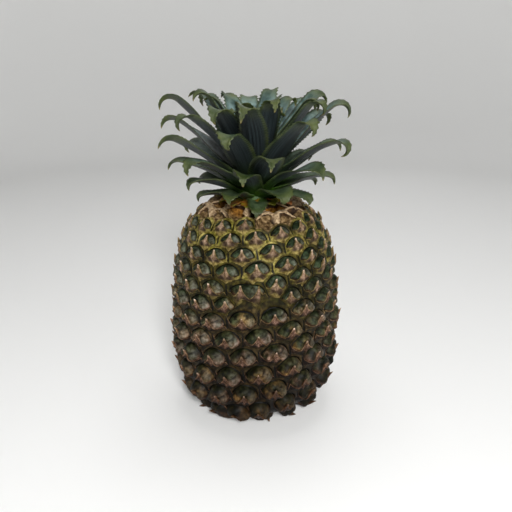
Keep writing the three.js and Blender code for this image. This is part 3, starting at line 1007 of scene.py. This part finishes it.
class Nodes:
    """Short ways to build a material's node tree. Colours are screen values of 0 to 255."""

    def __init__(self, name):
        self.material = bpy.data.materials.new(name)
        self.material.use_nodes = True
        self.tree = self.material.node_tree
        self.shader = self.tree.nodes["Principled BSDF"]

    def put(self, socket, value):
        if isinstance(value, bpy.types.NodeSocket):
            self.tree.links.new(value, socket)
        elif isinstance(value, tuple):
            socket.default_value = (*map(linear, value), 1.0)
        else:
            socket.default_value = value

    def node(self, kind, output, inputs=None, **settings):
        """An output of a new node, whose inputs are given by name or number."""
        node = self.tree.nodes.new("ShaderNode" + kind)
        for name, value in settings.items():
            setattr(node, name, value)
        for key, value in (inputs or {}).items():
            self.put(node.inputs[key], value)
        return node.outputs[output]

    def value(self, name):
        return self.node("Attribute", "Fac", attribute_name=name)

    def math(self, operation, a, b=0.0, clamp=False):
        return self.node("Math", "Value", {0: a, 1: b}, operation=operation, use_clamp=clamp)

    def plus(self, a, b, clamp=False):
        return self.math("ADD", a, b, clamp)

    def minus(self, a, b):
        return self.math("SUBTRACT", a, b)

    def times(self, a, b):
        return self.math("MULTIPLY", a, b)

    def span(self, value, low, high):
        """value mapped so that low gives 0 and high gives 1, with soft ends."""
        inputs = {"Value": value, "From Min": low, "From Max": high}
        return self.node("MapRange", "Result", inputs, interpolation_type="SMOOTHSTEP")

    def blend(self, share, a, b, kind="MIX"):
        inputs = {"Factor": share, "A": a, "B": b}
        return self.node("Mix", "Result", inputs, data_type="RGBA", blend_type=kind)

    def tones(self, noise, low, a, b):
        """a where the noise is below low, b where it is above 1 - low, and a blend between."""
        return self.blend(self.span(noise, low, 1 - low), a, b)

    def coats(self, color, *coats):
        """The color under some coats, each a share and a color of its own."""
        for share, coat in coats:
            color = self.blend(share, color, coat)
        return color

    def deepen(self, color):
        """The color with its dark tones darker and richer, and its light ones nearly as they are."""
        return self.node("Gamma", "Color", {"Color": color, "Gamma": DEPTH})

    def noise(self, size_mm, place=None, detail=3.0, roughness=0.55):
        place = place or self.node("TexCoord", "Object")
        inputs = {"Vector": place, "Scale": 1 / (size_mm * MM), "Detail": detail, "Roughness": roughness}
        return self.node("TexNoise", "Fac", inputs)

    def combine(self, x, y, z):
        return self.node("CombineXYZ", "Vector", {0: x, 1: y, 2: z})

    def bump(self, height, depth_mm, normal=None):
        inputs = {"Height": height, "Strength": 1.0, "Distance": depth_mm * MM}
        if normal:
            inputs["Normal"] = normal
        return self.node("Bump", "Normal", inputs)

    def finish(self, color, roughness, normal, shine=PLAIN_SHINE):
        values = (color, roughness, normal, shine)
        for name, value in zip(("Base Color", "Roughness", "Normal", "Specular IOR Level"), values):
            self.put(self.shader.inputs[name], value)
        return self.material


def uneven_ripeness(n):
    """How far the colours have changed down the fruit, with patches that run ahead or lag behind."""
    ahead = n.times(n.minus(n.noise(RIPE_PATCH, detail=1), 0.5), RIPE_SPREAD)
    return n.plus(n.value("ripe"), ahead, clamp=True)


def web_color(n, ripe, blotch, browning):
    """Skin between the domes: yellow-green at the shoulder, then olive, and browner low down."""
    pale = n.blend(blotch, (134, 130, 54), (212, 200, 138))
    yellow = n.blend(blotch, (66, 64, 18), (124, 115, 62))
    olive = n.blend(blotch, (46, 48, 8), (100, 92, 44))
    brown = n.blend(blotch, (52, 42, 36), (146, 122, 106))
    color = n.blend(n.span(ripe, 0, 0.1), pale, yellow)
    color = n.blend(n.span(ripe, 0, 0.32), color, olive)
    return n.blend(n.times(n.span(ripe, 0.4, 0.9), browning), color, brown)


def specks_and_foot_shade(n, color):
    """The color with darker and lighter specks, and far darker towards the foot of the fruit: partly its
    own darker colour there, partly painted shade.
    """
    specks = n.noise(2.4, detail=4, roughness=0.65)
    specked = n.blend(1.0, color, SPECK_TINT, "MULTIPLY")
    color = n.deepen(n.tones(specks, 0.3, specked, color))
    # darker towards the foot: partly its own colour, partly painted shade
    return n.blend(n.value("low"), color, n.blend(1.0, color, LOW_TINT, "MULTIPLY"))


def rind_material():
    """Grey-green domes in yellow-green webs, browner down the fruit, and tan where it is dry, with
    painted shade in the creases and a painted sheen on the domes' right lobes.
    """
    n = Nodes("rind")
    ripe, cup, shade = uneven_ripeness(n), n.value("cup"), n.value("shade")
    inside, side, up = n.value("inside"), n.value("side"), n.value("up")
    blotch = n.noise(6, detail=4)
    patch = n.noise(13, detail=2)
    dark_green = n.blend(ripe, (52, 66, 46), (44, 52, 28))
    light_green = n.blend(ripe, (92, 108, 86), (104, 104, 76))
    green = n.tones(blotch, 0.35, dark_green, light_green)
    tan = n.tones(shade, 0.35, (192, 164, 152), (192, 164, 116))
    rosy = n.tones(blotch, 0.3, (86, 66, 50), tan)
    # the rosy tan gathers low on each dome, its own colour, and towards its right side, as painted light
    # from the right
    lean = n.minus(n.times(side, 0.18), n.times(up, 0.2))
    lean = n.plus(n.times(shade, 0.1), lean)
    rosy_and_side_light = n.times(n.span(n.plus(patch, lean), 0.38, 0.66), n.span(ripe, 0.1, 0.7))
    # a painted sheen in the waxy bloom's grey, on each dome's right lobe
    bloom = n.times(n.span(side, -0.1, 0.7), n.span(inside, 0.05, 0.5))
    # darker olive along each dome's upper edge: partly its own colour, partly painted shade under the
    # skin above
    rim = n.times(n.span(inside, 0.26, 0), n.span(up, -0.3, 0.2))
    low_rim = n.times(n.span(up, 0, -0.5), n.span(inside, 0.8, 0.2))
    skin = n.coats(
        green,
        (rosy_and_side_light, rosy),
        (n.times(bloom, 0.58), (156, 156, 146)),
        (rim, n.blend(ripe, (34, 42, 20), (52, 54, 26))),
        (n.times(low_rim, 0.7), (116, 68, 50)),
    )
    web = web_color(n, ripe, n.span(blotch, 0.3, 0.7), RIND_BROWNING)
    skin = n.blend(n.value("dome"), web, skin)
    # painted shade: near black in the creases round the domes and along the seams
    skin = n.blend(n.span(n.value("crease"), 0, 0.7), skin, (5, 5, 2))
    dry = n.blend(n.span(n.noise(3.5, detail=5), 0.35, 0.7), (116, 96, 68), (190, 168, 134))
    bright = n.tones(patch, 0.42, (176, 134, 70), (128, 128, 34))
    dry = n.blend(n.value("top"), dry, bright)
    color = specks_and_foot_shade(n, n.blend(cup, skin, dry))
    normal = n.bump(blotch, 0.5, n.bump(n.noise(0.7, detail=2), 0.12))
    roughness = n.plus(n.plus(n.times(blotch, 0.25), n.times(cup, 0.3)), 0.38)
    return n.finish(color, roughness, normal, SKIN_SHINE)


def bract_material():
    """Beige-pink beaks on bands that are yellow-green at the shoulder and purplish brown below, with
    painted shade under the lips and at the bands' feet, and a painted highlight down their middles.
    """
    n = Nodes("bract")
    edge, beak, across, shade = (n.value(name) for name in ("edge", "beak", "across", "shade"))
    ripe = uneven_ripeness(n)
    fibre = n.noise(1.0, n.combine(n.times(across, 0.02), n.times(edge, 0.2), shade), detail=3)
    blotch = n.noise(5, detail=4)
    patch = n.span(blotch, 0.3, 0.7)
    band = web_color(n, ripe, patch, 1.0)
    middle = n.minus(1.0, n.span(n.math("ABSOLUTE", across), 0.3, 0.75))
    # painted highlight: light beige down the middle of each band, where it bulges under its beak, fading
    # low on the fruit
    axis = n.times(middle, n.minus(0.8, ripe))
    band = n.blend(n.math("MAXIMUM", axis, 0.0), band, (186, 170, 120))
    # purple on the band's middle, darker low on the fruit: partly the bract's own purple, partly painted
    # shade under the overhanging lip
    purple_and_shade = n.blend(ripe, (100, 84, 72), (42, 33, 30))
    middle = n.math("MAXIMUM", middle, n.times(ripe, 0.8))
    band = n.blend(n.times(middle, n.span(edge, 0.15, 0.45)), band, purple_and_shade)
    dark = n.blend(n.span(ripe, 0, 0.5), (178, 154, 134), (130, 100, 86))
    light = n.blend(n.span(ripe, 0, 0.4), (255, 240, 222), (246, 218, 202))
    light = n.blend(patch, (190, 170, 148), light)
    pale = n.blend(n.span(fibre, 0.5, 0.68), dark, light)
    reach = n.plus(beak, n.times(n.minus(blotch, 0.5), 0.2))
    rim = n.times(n.span(edge, 0.84, 0.97), 0.85)
    tip = n.span(beak, 0.82, 1.0)
    # painted shade: near black along the band's foot, in the crease below it, darker low on the fruit
    foot = n.minus(1.0, n.span(edge, 0, 0.14))
    darkness = n.plus(n.times(ripe, 0.5), 0.1)
    color = n.coats(
        band,
        (n.span(reach, 0.22, 0.5), pale),
        (rim, n.blend(ripe, (156, 146, 92), (208, 176, 154))),
        (tip, (248, 226, 210)),
        (n.times(foot, darkness), (14, 12, 5)),
    )
    normal = n.bump(n.noise(1.1, detail=3), 0.2, n.bump(fibre, 0.3))
    roughness = n.plus(n.times(blotch, 0.2), 0.4)
    return n.finish(specks_and_foot_shade(n, color), roughness, normal, SKIN_SHINE)


def collar_material():
    """Dry papery rims, light on their crests as painted light, and orange-brown in their folds and under
    them: partly their own colour, partly painted shade.
    """
    n = Nodes("collar")
    crack = n.noise(1.6, detail=5, roughness=0.7)
    blotch = n.noise(6, detail=3)
    light = n.tones(crack, 0.35, (140, 118, 90), (202, 182, 152))
    brown = n.tones(blotch, 0.35, (54, 36, 20), (120, 90, 52))
    # painted light and shade: the light tone on the hoods' crests, the brown under them
    crest = n.span(n.plus(n.value("edge"), n.times(blotch, 0.3)), 0.3, 0.8)
    return n.finish(n.deepen(n.blend(crest, brown, light)), 0.8, n.bump(crack, 0.5))


def leaf_material():
    """Blue-green leaves under a grey bloom, with olive edges and tips, green at the root, and undersides
    darkened partly as painted shade.
    """
    n = Nodes("leaf")
    across, under, share, shade = (n.value(name) for name in ("across", "under", "along", "shade"))
    stripe = n.noise(3, n.combine(n.times(across, 0.05), n.times(share, 0.004), shade), detail=3)
    bloom = n.noise(9, detail=4)
    dull = n.tones(bloom, 0.3, (60, 78, 52), (112, 128, 98))
    blue = n.tones(bloom, 0.3, (74, 98, 94), (156, 176, 176))
    olive = n.tones(bloom, 0.3, (66, 80, 30), (104, 112, 68))
    old = n.tones(bloom, 0.42, (128, 130, 30), (148, 100, 42))
    # the undersides' grey-green with stripes, darkened partly as painted shade
    lower = n.tones(stripe, 0.35, (34, 40, 42), (72, 82, 84))
    fresh = n.blend(n.span(shade, 0.1, 0.6), (84, 122, 20), (38, 52, 30))
    upper = n.blend(n.span(shade, 0.1, 0.55), dull, blue)
    rim = n.span(n.math("ABSOLUTE", across), 0.72, 1.0)
    tip = n.span(n.plus(share, n.times(bloom, 0.2)), 0.78, 1.02)
    root = n.minus(1.0, n.span(share, 0.05, 0.45))
    color = n.coats(
        upper,
        (under, lower),
        (n.times(rim, 0.75), olive),
        (tip, olive),
        (n.span(share, 0.96, 1.0), (150, 138, 96)),
        (n.times(root, 0.85), fresh),
        (n.span(shade, -0.1, -0.2), old),
    )
    normal = n.bump(n.noise(1.2, detail=2), 0.1, n.bump(stripe, 0.35))
    return n.finish(n.deepen(color), n.plus(n.times(bloom, 0.25), 0.35), normal)


def make_stage():
    """A pale round floor that curves up into a wall on all sides."""
    shell = Shell()
    turns = np.linspace(0, 2 * np.pi, FLOOR_SIDES, endpoint=False)
    curve = np.linspace(0, np.pi / 2, BEND_STEPS)
    middle, flat = FLOOR_RADII
    radii = [middle, *(flat + FLOOR_BEND * np.sin(curve)), flat + FLOOR_BEND]
    heights = [0, *(FLOOR_BEND - FLOOR_BEND * np.cos(curve)), FLOOR_BEND + FLOOR_WALL]
    rows = [shell.add(r * np.cos(turns), r * np.sin(turns), z) for r, z in zip(radii, heights)]
    shell.strips(rows, closed=True)
    shell.faces.append(rows[0][::-1].tolist())
    floor = Nodes("floor")
    floor.shader.inputs["Base Color"].default_value = FLOOR_COLOR
    floor.shader.inputs["Roughness"].default_value = FLOOR_ROUGHNESS
    make_piece("floor", shell.points(), shell, floor.material)


def add_aimed(name, data, place):
    """A light or camera at a place in metres, turned to the middle of the view."""
    thing = bpy.data.objects.new(name, data)
    thing.location = place
    aim = Vector((0, 0, VIEW_HEIGHT * MM)) - thing.location
    thing.rotation_euler = aim.to_track_quat("-Z", "Y").to_euler()
    bpy.context.scene.collection.objects.link(thing)
    return thing


def add_lights():
    for name, (place, size, power) in LIGHTS.items():
        light = bpy.data.lights.new(name, "AREA")
        light.shape = "DISK"
        light.size = size
        light.energy = power
        add_aimed(name, light, place)
    world = bpy.data.worlds.new("studio")
    world.use_nodes = True
    background = world.node_tree.nodes["Background"].inputs
    background["Color"].default_value = (1, 1, 1, 1)
    background["Strength"].default_value = STUDIO_LIGHT
    bpy.context.scene.world = world


def add_camera():
    data = bpy.data.cameras.new("camera")
    data.lens = LENS_MM
    data.sensor_width = SENSOR_MM
    data.shift_x = VIEW_SHIFT
    away = Vector((0, -math.cos(VIEW_ELEVATION), math.sin(VIEW_ELEVATION)))
    target = Vector((0, 0, VIEW_HEIGHT)) * MM
    bpy.context.scene.camera = add_aimed("camera", data, target + away * VIEW_DISTANCE * MM)


def dress(piece, node):
    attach(piece, "root")
    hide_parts(node)


eyes = place_eyes()
finish_eyes(eyes)
rind, cells = make_rind(eyes, rind_material())
bracts = make_bracts(cells, bract_material())
collar = make_collar(cells, collar_material())
green = leaf_material()
leaves = make_leaves(green)
core = make_core(green)
for piece in (rind, bracts, collar):
    dress(piece, "fruit")
for piece in (leaves, core):
    dress(piece, "crown")

make_stage()
add_lights()
add_camera()
bpy.context.scene.view_settings.view_transform = "Standard"
